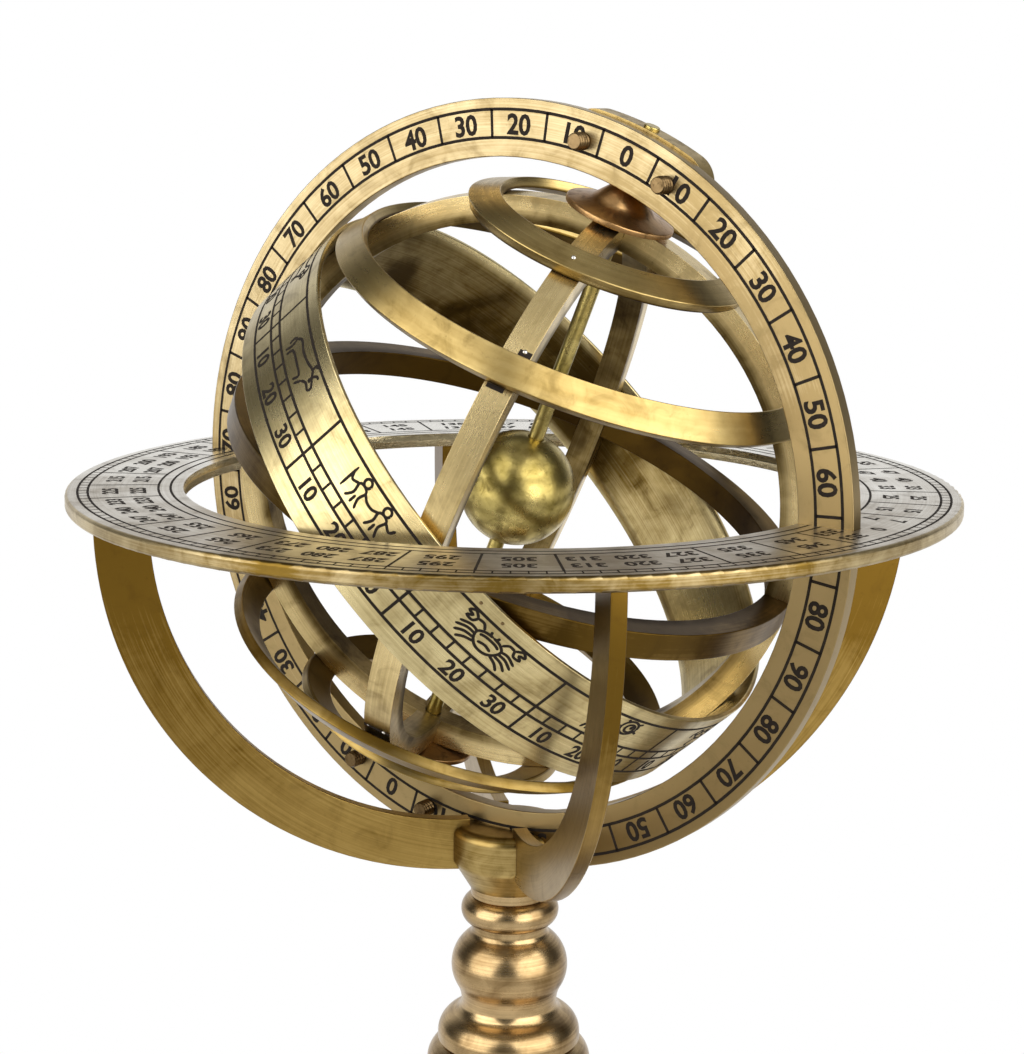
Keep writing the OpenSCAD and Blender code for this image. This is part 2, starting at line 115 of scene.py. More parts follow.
class ArmillaryColours(bpy.types.PropertyGroup):
    """Colours of the brass, its patina and the fill of the engraving."""

    gold: FloatVectorProperty(
        name="Bright brass", description="Brass where it has been rubbed bright",
        default=(0.64, 0.485, 0.205), subtype="COLOR", min=0, max=1,
    )
    olive: FloatVectorProperty(
        name="Tarnished brass", description="Brass under a thin tarnish",
        default=(0.165, 0.10, 0.018), subtype="COLOR", min=0, max=1,
    )
    umber: FloatVectorProperty(
        name="Dark patina", description="Patina where nothing has rubbed it",
        default=(0.028, 0.014, 0.004), subtype="COLOR", min=0, max=1,
    )
    silver: FloatVectorProperty(
        name="Pale brass", description="Brass of the horizon ring's face",
        default=(0.80, 0.775, 0.71), subtype="COLOR", min=0, max=1,
    )
    fill: FloatVectorProperty(
        name="Black fill", description="Wax in the engraved lines",
        default=(0.014, 0.010, 0.007), subtype="COLOR", min=0, max=1,
    )


# ---- Shader maths ----


class Value:
    """An output of a shader node. Python's operators on it add Math nodes."""

    def __init__(self, finish, socket):
        self.finish = finish
        self.socket = socket

    def __add__(self, other):
        return self.finish.math("ADD", self, other)

    def __sub__(self, other):
        return self.finish.math("SUBTRACT", self, other)

    def __rsub__(self, other):
        return self.finish.math("SUBTRACT", other, self)

    def __mul__(self, other):
        return self.finish.math("MULTIPLY", self, other)

    def __truediv__(self, other):
        return self.finish.math("DIVIDE", self, other)

    def __rtruediv__(self, other):
        return self.finish.math("DIVIDE", other, self)

    __radd__ = __add__
    __rmul__ = __mul__

    def clamped(self):
        """The value held between 0 and 1."""
        return self.finish.math("ADD", self, 0.0, use_clamp=True)

    def step(self, low, high):
        """A smooth step from 0 at low to 1 at high."""
        return self.finish.node(
            "ShaderNodeMapRange",
            {"interpolation_type": "SMOOTHSTEP"},
            {"Value": self, "From Min": low, "From Max": high},
        )


class Finish:
    """The nodes of one material, or of the world."""

    def __init__(self, name, kind="materials"):
        self.owner = getattr(bpy.data, kind).new(name)
        self.owner.use_nodes = True
        self.tree = self.owner.node_tree
        self.tree.nodes.clear()

    def feed(self, socket, value):
        """Links a value to a socket, or sets a number or a colour on it."""
        if isinstance(value, Value):
            self.tree.links.new(value.socket, socket)
        elif socket.type == "RGBA":
            socket.default_value = (*value, 1)
        else:
            socket.default_value = value

    def node(self, kind, settings=None, inputs=None, output=0):
        """Adds a node: its settings come first, then its sockets' values or links."""
        made = self.tree.nodes.new(kind)
        for name, value in (settings or {}).items():
            setattr(made, name, value)
        for name, value in (inputs or {}).items():
            self.feed(made.inputs[name], value)
        return Value(self, made.outputs[output]) if len(made.outputs) else None

    def math(self, operation, first, second=0.0, use_clamp=False):
        """An operation on two numbers."""
        settings = {"operation": operation, "use_clamp": use_clamp}
        return self.node("ShaderNodeMath", settings, {0: first, 1: second})

    def vector(self, operation, first, second=(0, 0, 0), output=0):
        """An operation on two vectors; output 1 is the number of a dot product or a length."""
        return self.node(
            "ShaderNodeVectorMath", {"operation": operation}, {0: first, 1: second}, output
        )

    def scaled(self, vector, factor):
        """A vector times a number."""
        return self.node(
            "ShaderNodeVectorMath", {"operation": "SCALE"}, {0: vector, "Scale": factor}
        )

    def mix(self, factor, first, second):
        """A colour between first and second."""
        return self.node(
            "ShaderNodeMix", {"data_type": "RGBA"}, {0: factor, 6: first, 7: second}, 2
        )

    def noise(self, vector, scale, detail, roughness, distortion=0.0):
        """Noise between 0 and 1, with scale features to a millimetre."""
        return self.node(
            "ShaderNodeTexNoise",
            {},
            {
                "Vector": vector, "Scale": scale, "Detail": detail,
                "Roughness": roughness, "Distortion": distortion,
            },
        )

    def place(self, origin=(0, 0, 0)):
        """The point being shaded, in millimetres from an origin in metres."""
        point = self.node("ShaderNodeTexCoord", output="Object")
        return self.scaled(self.vector("SUBTRACT", point, tuple(origin)), 1 / MM)

    def bump(self, height, depth, normal=None):
        """Relief as deep as depth millimetres, on a normal if one is given."""
        inputs = {"Height": height, "Distance": depth * MM}
        if normal is not None:
            inputs["Normal"] = normal
        return self.node("ShaderNodeBump", {}, inputs)

    def surface(self, colour, roughness, normal, constants):
        """Finishes the material: constants are values that are the same all over."""
        inputs = {"Base Color": colour, "Roughness": roughness, "Normal": normal, **constants}
        shader = self.node("ShaderNodeBsdfPrincipled", {}, inputs)
        self.node("ShaderNodeOutputMaterial", {}, {"Surface": shader})
        return self.owner


def round_coordinates(finish, origin, axis):
    """The point being shaded, its height along an axis, and its distance and offset from it."""
    point = finish.place(origin)
    height = finish.vector("DOT_PRODUCT", point, tuple(axis), output=1)
    across = finish.vector("SUBTRACT", point, finish.scaled(tuple(axis), height))
    return point, height, finish.vector("LENGTH", across, output=1), across


def rim_normal(finish, height, distance, across, radius, low, high):
    """The exact normal of a level ring's rounded rim.

    The rim's corners turn about a radius, at the heights low and high.
    """
    level = ((height - low) / (high - low)).clamped() * (high - low)
    past = finish.math("MAXIMUM", distance - radius, 0.001)
    rounding = finish.vector(
        "ADD",
        finish.scaled(across, past / distance),
        finish.scaled((0, 0, 1), height - low - level),
    )
    turned = finish.node(
        "ShaderNodeVectorTransform",
        {"vector_type": "NORMAL", "convert_from": "OBJECT", "convert_to": "WORLD"},
        {"Vector": finish.vector("NORMALIZE", rounding)},
    )
    plain = finish.node("ShaderNodeNewGeometry", output="Normal")
    near_rim = distance.step(radius - 3.0, radius - 2.5)
    return finish.node(
        "ShaderNodeMix", {"data_type": "VECTOR"}, {0: near_rim, 4: plain, 5: turned}, 1
    )


# What is the same all over a brass piece
METAL = {"Metallic": 1.0}


def brass(
    name, origin, axis, colours, tarnish, patina, polish, grain, turned=False,
    mottle=1.0, painted_shade_gradient=None, patina_and_shade_range=None, face=None, rim=None,
):
    """Brass brushed round an axis: rubbed bright, clouded with tarnish and stained with patina.

    Colours are the bright, the tarnished and the stained one. Polish is the roughness of the
    bright metal. Grain is the strength of the brush marks, which on a turned piece run round it
    at each height. Mottle is the strength of the clouds, and the gradient gives the darkening
    gained over 100 mm along each axis, which is painted shade. Inside the cage the brass is
    darker, partly patina and partly painted shade: an argument gives the two distances from the
    origin between which this ends, and may give the two heights between which it grows. Face is
    the height of a flat face, with its bright and its tarnished colour. Rim gives the radius and
    the two heights that a rounded rim's corners turn about.
    """
    finish = Finish(name)
    bright, dull, dark = (tuple(colour) for colour in colours)
    point, height, distance, across = round_coordinates(finish, origin, axis)
    lift = finish.scaled(tuple(axis), (height if turned else height + distance) * 5.0)
    streaks = finish.noise(finish.vector("ADD", finish.scaled(across, 0.05), lift), 0.55, 3, 0.6)
    hairs = finish.noise(finish.vector("ADD", finish.scaled(across, 0.12), lift), 2.4, 2, 0.6)
    clouds = finish.noise(point, 0.045, 4, 0.55, 0.4)
    stains = finish.noise(point, 0.17, 5, 0.62, 0.8)
    specks = finish.noise(point, 0.9, 3, 0.6)
    worn = ((clouds - 0.5) * 1.3 + (stains - 0.5) * 0.7) * mottle + (streaks - 0.5) * 0.7 + tarnish
    stained = (stains.step(0.5, 0.74) * 0.7 + specks.step(0.62, 0.76) * 0.6) * patina
    # Painted shade: darker along a fixed direction in the object
    if painted_shade_gradient:
        worn = worn + finish.vector("DOT_PRODUCT", point, painted_shade_gradient, output=1) / 100
    # Darker and more stained on the inside of the cage: partly patina, partly painted shade
    if patina_and_shade_range:
        inner_patina_and_shade = 1.0 - finish.vector("LENGTH", point, output=1).step(*patina_and_shade_range[:2])
        if len(patina_and_shade_range) > 2:
            level = finish.vector("DOT_PRODUCT", point, (0, 0, 1), output=1)
            inner_patina_and_shade = inner_patina_and_shade * level.step(*patina_and_shade_range[2:])
        worn = worn + inner_patina_and_shade * 0.55
        stained = stained + inner_patina_and_shade * (0.28 + clouds.step(0.40, 0.62) * 0.5)
    worn, stained = worn.clamped(), stained.clamped()
    if face:
        level, face_bright, face_dull = face
        on_face = height.step(level - 0.1, level - 0.02)
        bright = finish.mix(on_face, bright, tuple(face_bright))
        dull = finish.mix(on_face, dull, face_dull)
    colour = finish.mix(stained, finish.mix(worn, bright, dull), dark)
    roughness = polish + worn * 0.10 + hairs * 0.12 * grain + stained * 0.22
    normal = rim_normal(finish, height, distance, across, *rim) if rim else None
    relief = finish.bump(streaks * 0.5 + hairs + specks * 0.25, 0.014 * grain, normal)
    return finish.surface(colour, roughness.clamped(), relief, METAL)


def cast_brass(name, colours, patina=0.5, polish=0.32, pits=0.03, tarnish=0.5):
    """Brass with clouded patina and a skin with pits so many millimetres deep."""
    finish = Finish(name)
    bright, dull, dark = (tuple(colour) for colour in colours)
    point = finish.place(CENTRE)
    clouds = finish.noise(point, 0.11, 4, 0.6, 0.6)
    stains = finish.noise(point, 0.35, 5, 0.65, 0.6)
    specks = finish.noise(point, 1.6, 3, 0.6)
    worn = (clouds * 1.4 + stains * 0.5 - 0.95 + tarnish).clamped()
    stained = ((stains.step(0.48, 0.7) * 0.8 + specks.step(0.6, 0.75) * 0.4) * patina).clamped()
    colour = finish.mix(stained, finish.mix(worn, bright, dull), dark)
    roughness = polish + worn * 0.08 + stained * 0.25
    return finish.surface(colour, roughness.clamped(), finish.bump(specks + stains, pits), METAL)


def black_fill(name, colour):
    """Hard black wax rubbed into engraved lines, worn thin here and there."""
    finish = Finish(name)
    wear = finish.noise(finish.place(), 0.8, 3, 0.6)
    shade = finish.mix(wear.step(0.5, 0.85) * 0.5, colour, tuple(3 * part for part in colour))
    return finish.surface(
        shade, 0.6 + wear * 0.25, finish.bump(wear, 0.02), {"Metallic": 0.0, "Specular IOR Level": 0.12}
    )


# ---- Making pieces ----


def new_piece(name, vertices, faces, material, body, smooth=False):
    """A mesh object that rides on a CAD body."""
    mesh = bpy.data.meshes.new(name)
    mesh.from_pydata([tuple(vertex) for vertex in vertices], [], faces)
    mesh.validate()
    mesh.polygons.foreach_set("use_smooth", [smooth] * len(mesh.polygons))
    mesh.materials.append(material)
    piece = bpy.data.objects.new(name, mesh)
    bpy.context.scene.collection.objects.link(piece)
    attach(piece, body)
    return piece


def paint(nodes, material, edge=0.22):
    """Gives CAD nodes a finish, and breaks their sharp edges so that these catch the light.

    An edge of 0 is for a node that is rounded already.
    """
    for name in nodes:
        node = frame["nodes"][name]
        node.data.materials.clear()
        node.data.materials.append(material)
        weld = node.modifiers.new("weld", "WELD")
        weld.merge_threshold = 0.002 * MM
        joined = node.modifiers.new("joined_faces", "DECIMATE")
        joined.decimate_type = "DISSOLVE"
        joined.angle_limit = math.radians(0.1)
        if edge:
            broken = node.modifiers.new("broken_edges", "BEVEL")
            broken.width = edge * MM
            broken.segments = 2
            broken.limit_method = "ANGLE"
            broken.angle_limit = math.radians(35)
        node.data.polygons.foreach_set("use_smooth", [True] * len(node.data.polygons))
        flat = node.modifiers.new("flat_faces", "WEIGHTED_NORMAL")
        flat.mode = "FACE_AREA"
        flat.weight = 100
        flat.keep_sharp = False


# Solid letters that are made already
GLYPHS = {}


def glyphs(text):
    """Points and faces of solid letters of height 1, centred over the origin, z from 0 to 1."""
    if text in GLYPHS:
        return GLYPHS[text]
    curve = bpy.data.curves.new("letters", "FONT")
    curve.body = text
    curve.align_x = "CENTER"
    curve.extrude = 0.5
    # A little bolder than the font itself
    curve.offset = 0.032
    curve.resolution_u = 3
    holder = bpy.data.objects.new("letters", curve)
    bpy.context.scene.collection.objects.link(holder)
    bpy.context.view_layer.update()
    mesh = bpy.data.meshes.new_from_object(
        holder.evaluated_get(bpy.context.evaluated_depsgraph_get())
    )
    height = max(vertex.co.y for vertex in mesh.vertices)
    points = [(v.co.x / height, v.co.y / height, v.co.z + 0.5) for v in mesh.vertices]
    faces = [tuple(polygon.vertices) for polygon in mesh.polygons]
    bpy.data.objects.remove(holder)
    bpy.data.curves.remove(curve)
    bpy.data.meshes.remove(mesh)
    GLYPHS[text] = points, faces
    return GLYPHS[text]


def rounded(points, steps=4):
    """A smooth curve through the points."""
    out = []
    ends = [points[0], *points, points[-1]]
    for before, start, end, after in zip(ends, ends[1:], ends[2:], ends[3:]):
        for step in range(steps):
            t = step / steps
            out.append(tuple(
                0.5 * (2 * s + (e - b) * t + (2 * b - 5 * s + 4 * e - a) * t * t
                       + (3 * s - b - 3 * e + a) * t ** 3)
                for b, s, e, a in zip(before, start, end, after)
            ))
    out.append(tuple(points[-1]))
    return out


def loop(x, y, across, high, count=10):
    """Points round an ellipse, back to its first point."""
    turns = [2 * math.pi * step / count for step in range(count + 1)]
    return [(x + across * math.cos(turn), y + high * math.sin(turn)) for turn in turns]


def paired(*strokes, high=1):
    """Strokes with their mirror images, or with high at -1 turned halfway round."""
    return [*strokes, *([(-x, high * y) for x, y in stroke] for stroke in strokes)]


# The twelve signs in plain line drawing, in millimetres about the middle of a panel 8 mm high.
# Each stroke is a list of points that a smooth curve runs through.
SIGNS = (
    # Ram
    (
        [(-6.2, -2.8), (-5.6, -0.6), (-6.0, 0.6), (-4.0, 1.5), (-0.5, 1.3), (2.2, 1.7), (3.4, 2.9),
         (5.0, 2.8), (6.3, 1.5), (5.9, 0.7), (4.6, 0.9), (3.6, -0.3), (2.6, -1.2)],
        [(3.2, 1.6), (3.0, 0.4), (4.3, 0.1), (4.6, 1.2), (3.8, 1.6)],
        [(-5.0, -2.8), (-4.4, -0.9), (-1.6, -1.0), (1.4, -1.2), (1.6, -2.9)],
        [(2.7, -2.9), (2.5, -0.9)], loop(5.1, 2.1, 0.25, 0.25), [(-6.1, 0.4), (-7.0, -0.6)],
    ),
    # Bull
    (
        [(-6.6, 0.6), (-5.2, 1.6), (-2.2, 1.3), (1.0, 1.7), (3.2, 2.2), (4.4, 1.5), (6.2, 0.6),
         (6.0, -0.4), (4.4, -0.2), (3.2, -1.0)],
        [(3.2, 2.2), (3.1, 3.3), (4.0, 3.5)], [(4.4, 1.5), (5.2, 2.6), (6.0, 2.7)],
        [(-6.6, 0.6), (-6.2, -1.2), (-6.6, -2.9)], [(2.3, -2.9), (3.2, -1.0)],
        [(-5.4, -2.9), (-4.8, -1.1), (-1.6, -0.9), (1.6, -1.2), (1.2, -2.9)],
        [(-6.6, 0.6), (-7.4, -0.2), (-7.2, -1.6)], loop(4.6, 0.8, 0.2, 0.2),
    ),
    # Twins
    (
        *paired(
            [(-4.9, -2.9), (-4.0, -1.0), (-4.4, 1.0), (-3.2, 1.5), (-2.1, 0.9), (-2.4, -1.0),
             (-1.6, -2.9)],
            [(-3.2, -2.9), (-3.2, -1.0)], [(-4.4, 1.0), (-6.0, 0.2), (-6.8, 1.5)],
        ),
        loop(-3.2, 2.4, 0.85, 0.9), loop(3.2, 2.4, 0.85, 0.9), [(-6.8, 2.6), (-6.8, -2.6)],
        [(-2.1, 0.9), (-0.8, 0.1), (0.8, 0.1), (2.1, 0.9)],
    ),
    # Crab
    (
        [(0, 1.8), (1.7, 1.6), (3.0, 0.7), (2.7, -0.7), (1.5, -1.8), (0, -2.1), (-1.5, -1.8),
         (-2.7, -0.7), (-3.0, 0.7), (-1.7, 1.6), (0, 1.8)],
        [(-2.3, 0.5), (-1.1, 0.9), (1.1, 0.9), (2.3, 0.5)], [(-1.6, -0.9), (0, -0.5), (1.6, -0.9)],
        *paired(
            [(-0.7, 1.8), (-1.0, 2.6)], [(-2.2, 1.7), (-3.2, 2.7), (-4.6, 2.6)],
            [(-4.6, 2.6), (-6.0, 3.5), (-7.0, 2.7), (-5.8, 2.4), (-6.7, 1.6), (-5.2, 1.5),
             (-4.6, 2.6)],
            [(-2.9, 0.6), (-4.6, 0.8), (-6.8, -0.1)], [(-2.9, -0.1), (-4.8, -0.2), (-6.9, -1.2)],
            [(-2.6, -0.9), (-4.6, -1.2), (-6.3, -2.3)], [(-2.0, -1.5), (-3.8, -2.1), (-5.2, -3.2)],
        ),
    ),
    # Lion
    (
        [(-6.0, -2.9), (-5.2, -1.0), (-5.8, 0.6), (-4.2, 1.3), (-1.0, 1.0), (1.6, 1.2)],
        loop(3.6, 1.3, 2.1, 1.9, 14), loop(3.9, 1.2, 1.1, 1.1, 12), loop(4.2, 1.5, 0.2, 0.2),
        [(-4.8, -2.9), (-4.0, -1.0), (-1.0, -0.8), (1.6, -1.0), (1.6, -2.9)],
        [(2.9, -2.9), (3.0, -0.6)], [(-5.8, 0.6), (-7.0, 1.2), (-6.6, 2.6), (-5.4, 2.9)],
        [(2.4, 2.9), (1.6, 3.3)], [(5.2, 2.7), (6.0, 3.2)], [(5.7, 0.6), (6.6, 0.2)],
    ),
    # Maiden
    (
        loop(-4.6, 1.9, 1.0, 0.85), [(-5.6, 2.3), (-6.7, 1.4), (-6.4, 0.4)],
        [(-3.8, 1.3), (-1.6, 1.7), (1.2, 1.2), (4.4, 0.5), (6.9, 0.9)],
        [(-4.6, 1.0), (-3.0, -0.4), (0.4, -1.2), (4.0, -1.5), (6.9, -1.3)],
        [(6.9, 0.9), (6.2, -0.2), (6.9, -1.3)], [(-1.6, 1.7), (-0.8, 3.0), (1.2, 3.1)],
        [(1.2, 3.4), (2.4, 3.1), (1.4, 2.6)], [(0.2, 0.9), (2.2, 0.0), (5.2, -0.3)],
        [(-1.2, 0.5), (1.0, -0.6)], [(-3.0, -0.4), (-4.2, -2.2), (-3.0, -2.9)],
    ),
    # Balance
    (
        [(0, -2.7), (0, 2.7)], [(-5.2, 1.9), (-2.6, 2.4), (0, 2.2), (2.6, 2.4), (5.2, 1.9)],
        loop(0, 3.0, 0.4, 0.4), [(-1.7, -2.8), (0, -2.3), (1.7, -2.8)],
        *paired(
            [(-5.2, 1.9), (-6.8, -0.9)], [(-5.2, 1.9), (-3.6, -0.9)],
            [(-6.9, -0.9), (-5.2, -2.2), (-3.5, -0.9), (-5.2, -0.8), (-6.9, -0.9)],
        ),
    ),
    # Scorpion
    (
        loop(-1.6, -0.4, 2.2, 1.2, 12),
        [(0.6, -0.3), (2.6, -0.9), (4.6, -0.6), (5.9, 0.8), (5.4, 2.4), (3.9, 2.8), (3.4, 2.0)],
        [(-3.4, 0.4), (-4.8, 1.6), (-6.0, 1.4)], [(-6.0, 1.4), (-7.0, 2.2), (-6.2, 2.8), (-5.4, 1.9)],
        [(-3.4, -1.2), (-4.8, -2.2), (-6.0, -1.8)],
        [(-6.0, -1.8), (-7.0, -2.5), (-6.4, -1.0), (-5.6, -1.2)],
        [(-2.4, 0.7), (-2.6, 2.4)], [(-1.2, 0.8), (-0.8, 2.6)], [(0, 0.5), (1.2, 2.0)],
        [(-2.4, -1.5), (-2.8, -2.8)], [(-1.2, -1.6), (-0.8, -2.9)], [(0, -1.3), (1.2, -2.6)],
        [(2.6, -0.3), (2.8, -1.4)],
    ),
    # Archer
    (
        [(2.2, 3.2), (4.8, 2.2), (5.6, 0.2), (4.8, -1.8), (2.2, -2.8)],
        [(2.2, 3.2), (2.6, 0.2), (2.2, -2.8)], [(-5.6, 0.2), (-1.0, 0.2), (6.9, 0.2)],
        [(6.0, 0.9), (7.1, 0.2), (6.0, -0.5)], [(-5.6, 0.2), (-6.6, 1.0)],
        [(-5.6, 0.2), (-6.6, -0.6)], [(-4.8, 0.2), (-5.8, 1.0)], [(-4.8, 0.2), (-5.8, -0.6)],
        loop(-2.2, 2.4, 0.8, 0.8), [(-2.2, 1.6), (-2.6, 0.4), (-2.0, -1.2), (-3.4, -2.9)],
        [(-2.0, -1.2), (-0.6, -2.9)], [(-2.4, 1.3), (-0.4, 1.0), (1.6, 0.4)],
    ),
    # Goat
    (
        [(5.9, -0.2), (6.6, 0.7), (5.2, 1.8), (3.6, 2.0), (2.2, 1.2), (-0.4, 1.4), (-3.0, 0.8),
         (-4.6, -0.8), (-6.2, -0.4), (-6.9, 1.2), (-5.8, 2.0)],
        [(-5.8, 2.0), (-6.9, 2.9)], [(-5.8, 2.0), (-4.8, 3.0)], [(4.2, 1.9), (3.0, 3.2), (1.4, 3.0)],
        [(3.6, 2.0), (2.4, 2.7)], [(5.9, -0.2), (4.6, 0.2), (3.4, -0.6), (3.8, -2.9)],
        [(2.6, -2.9), (2.2, -1.0), (-0.6, -1.2), (-3.2, -2.0), (-5.2, -1.8), (-6.2, -0.4)],
        loop(5.0, 1.1, 0.2, 0.2), [(6.0, -0.3), (5.6, -1.2)], [(-1.6, 0.8), (-1.0, -0.8)],
        [(-3.0, 0.3), (-2.6, -1.4)],
    ),
    # Water bearer
    (
        loop(-3.6, 2.3, 0.8, 0.85), [(-2.5, 1.0), (-1.0, 0.6), (0.4, 1.4)],
        [(-5.4, -2.9), (-4.6, -0.6), (-4.8, 1.0), (-3.6, 1.5), (-2.5, 1.0), (-2.6, -0.8),
         (-1.6, -2.9)],
        [(0.2, 2.4), (1.9, 2.9), (3.0, 1.6), (2.0, 0.5), (0.6, 1.0), (0.2, 2.4)],
        [(2.8, 2.4), (3.8, 2.6), (4.0, 1.6), (3.1, 1.2)],
        [(2.4, 0.2), (3.2, -0.6), (4.2, 0.0), (5.2, -0.8), (6.6, -0.2)],
        [(1.4, -0.9), (2.4, -1.6), (3.4, -1.0), (4.6, -1.8), (6.6, -1.2)],
        [(0.6, -2.0), (1.8, -2.7), (3.0, -2.1), (4.4, -2.9), (6.6, -2.3)],
    ),
    # Fishes
    (
        *paired(
            [(-6.6, 1.4), (-4.0, 2.9), (-0.6, 1.8), (0.8, 2.8)], [(0.8, 2.8), (0.3, 1.9), (0.8, 0.9)],
            [(-6.6, 1.4), (-4.0, 0.5), (-0.6, 1.8), (0.8, 0.9)],
            [(-4.2, 2.4), (-3.8, 1.6), (-4.2, 0.9)], high=-1,
        ),
        loop(-5.2, 1.7, 0.2, 0.2), loop(5.2, -1.5, 0.2, 0.2),
        [(-6.6, 1.4), (-6.9, -0.6), (-3.4, -0.9), (-0.2, 0.1), (3.2, 0.9), (6.9, 0.4), (6.6, -1.4)],
    ),
)


class Engraving:
    """Filled lines and letters on a surface, drawn flat and then laid on it."""

    def __init__(self, proud, depth=0.06 * MM):
        """The fill stands proud of the surface and is depth thick."""
        self.points = []
        self.faces = []
        self.top = proud
        self.bottom = proud - depth

    def add(self, points, faces):
        """Adds a closed solid."""
        start = len(self.points)
        self.points += points
        self.faces += [tuple(start + corner for corner in face) for face in faces]

    def line(self, path, width, closed=False, taper=1.0):
        """A solid strip along a path; at an open end its width falls to taper of the whole."""
        count = len(path)
        points = []
        for index, (x, y) in enumerate(path):
            before = path[index - 1] if closed or index else path[0]
            after = path[(index + 1) % count] if closed or index < count - 1 else path[-1]
            dx, dy = after[0] - before[0], after[1] - before[1]
            length = math.hypot(dx, dy) or 1.0
            half = width / 2
            if not closed and index in (0, count - 1):
                half *= taper
            nx, ny = -dy / length * half, dx / length * half
            points += [
                (x + nx, y + ny, self.top), (x - nx, y - ny, self.top),
                (x - nx, y - ny, self.bottom), (x + nx, y + ny, self.bottom),
            ]
        faces = []
        for index in range(count if closed else count - 1):
            here, there = 4 * index, 4 * ((index + 1) % count)
            for side in range(4):
                turn = (side + 1) % 4
                faces.append((here + side, here + turn, there + turn, there + side))
        if not closed:
            faces += [(3, 2, 1, 0), tuple(4 * (count - 1) + side for side in range(4))]
        self.add(points, faces)

    def text(self, words, x, y, height, up=(0, 1)):
        """Letters with the middle of their height at x, y and their tops towards up."""
        points, faces = glyphs(words)
        right = (up[1], -up[0])
        self.add(
            [
                (
                    x + height * (px * right[0] + (py - 0.5) * up[0]),
                    y + height * (px * right[1] + (py - 0.5) * up[1]),
                    self.bottom + (self.top - self.bottom) * pz,
                )
                for px, py, pz in points
            ],
            faces,
        )

    def ring_text(self, words, radius, angle, height):
        """Letters on a circle about the origin, with their tops outwards."""
        up = (math.cos(angle), math.sin(angle))
        self.text(words, radius * up[0], radius * up[1], height, up)

    def circle(self, radius, width):
        """A full circle about the origin, in steps of half a millimetre."""
        self.line(loop(0, 0, radius, radius, int(radius / (0.5 * MM)))[:-1], width, closed=True)

    def spoke(self, angle, inner, outer, width):
        """A line along a radius."""
        x, y = math.cos(angle), math.sin(angle)
        self.line([(inner * x, inner * y), (outer * x, outer * y)], width)

    def lay(self, name, matrix, material, body):
        """Makes the piece on a flat face: Z of the matrix points out of it."""
        points = [matrix @ Vector(point) for point in self.points]
        return new_piece(name, points, self.faces, material, body)

    def wrap(self, name, matrix, radius, material, body):
        """Makes the piece on a cylinder: x runs round it and y along its axis."""
        mesh = bmesh.new()
        for point in self.points:
            mesh.verts.new(point)
        mesh.verts.ensure_lookup_table()
        for face in self.faces:
            try:
                mesh.faces.new([mesh.verts[corner] for corner in face])
            except ValueError:
                continue
        # Long edges are cut three times over, so that they bend with the cylinder
        for _ in range(3):
            long = [edge for edge in mesh.edges if edge.calc_length() > 1.6 * MM]
            bmesh.ops.subdivide_edges(mesh, edges=long, cuts=1)
            bmesh.ops.triangulate(mesh, faces=[face for face in mesh.faces if len(face.verts) > 4])
        for vertex in mesh.verts:
            angle = vertex.co.x / radius
            out = radius + vertex.co.z
            vertex.co = matrix @ Vector((out * math.cos(angle), out * math.sin(angle), vertex.co.y))
        points = [vertex.co.copy() for vertex in mesh.verts]
        mesh.verts.index_update()
        faces = [tuple(vertex.index for vertex in face.verts) for face in mesh.faces]
        mesh.free()
        return new_piece(name, points, faces, material, body)


# ---- Pieces ----

# Tints of each kind of brass: bright, tarnished and, where it isn't the common one, stained
COLUMN_TINTS = (0.67, 0.485, 0.25), (0.14, 0.08, 0.026)
ARM_TINTS = (0.46, 0.315, 0.10), (0.13, 0.072, 0.010)
MERIDIAN_TINTS = (0.74, 0.62, 0.38), (0.27, 0.195, 0.085)
ZODIAC_TINTS = (0.76, 0.64, 0.345), (0.17, 0.108, 0.020)
COLURE_TINTS = (0.73, 0.57, 0.28), (0.21, 0.14, 0.036)
EQUATOR_TINTS = (0.34, 0.22, 0.07), (0.09, 0.05, 0.008)
HUB_TINTS = (0.50, 0.31, 0.13), (0.26, 0.13, 0.045)
ROD_TINTS = (0.66, 0.53, 0.20), (0.22, 0.16, 0.02)
STEEL_TINTS = (0.55, 0.53, 0.50), (0.4, 0.38, 0.34)
HORIZON_RIM = (0.80, 0.67, 0.40)
HORIZON_FACE_TARNISH = (0.30, 0.24, 0.155)
SCREW_TINTS = (0.25, 0.17, 0.08), (0.06, 0.034, 0.012), (0.015, 0.008, 0.003)
RIVET_TINTS = (0.72, 0.70, 0.66), (0.40, 0.37, 0.33), (0.05, 0.04, 0.03)

# Radius of the horizon ring's edges, in millimetres
HORIZON_EDGE_ROUNDING = 0.8


def cage_frame(sizes):
    """The cage's own frame, turned about the polar axis."""
    return POLAR @ Matrix.Rotation(sizes.cage_turn, 4, "Z")


def zodiac_frame(sizes):
    """The zodiac band's frame, with Z towards its north side."""
    return cage_frame(sizes) @ Matrix.Rotation(sizes.ecliptic_tilt, 4, "Y")


def fill_material():
    """The black fill, made once."""
    colour = tuple(bpy.context.scene.armillary_colours.fill)
    return bpy.data.materials.get("black_fill") or black_fill("black_fill", colour)


def screw_material():
    """The screws' brown brass, made once."""
    return bpy.data.materials.get("screw_brass") or cast_brass(
        "screw_brass", SCREW_TINTS, patina=0.9, polish=0.26, pits=0.05, tarnish=0.65
    )


def dome(radius, high, rings=3, count=14):
    """A low round rivet head on the XY plane, in millimetres."""
    points = [(0, 0, high)]
    for ring in range(1, rings + 1):
        slope = 0.5 * math.pi * ring / rings
        for step in range(count):
            turn = 2 * math.pi * step / count
            out = radius * math.sin(slope)
            points.append((out * math.cos(turn), out * math.sin(turn), high * math.cos(slope)))
    faces = [(0, 1 + step, 1 + (step + 1) % count) for step in range(count)]
    for ring in range(rings - 1):
        first = 1 + ring * count
        for step in range(count):
            after = (step + 1) % count
            faces.append((first + step, first + count + step, first + count + after, first + after))
    return points, faces


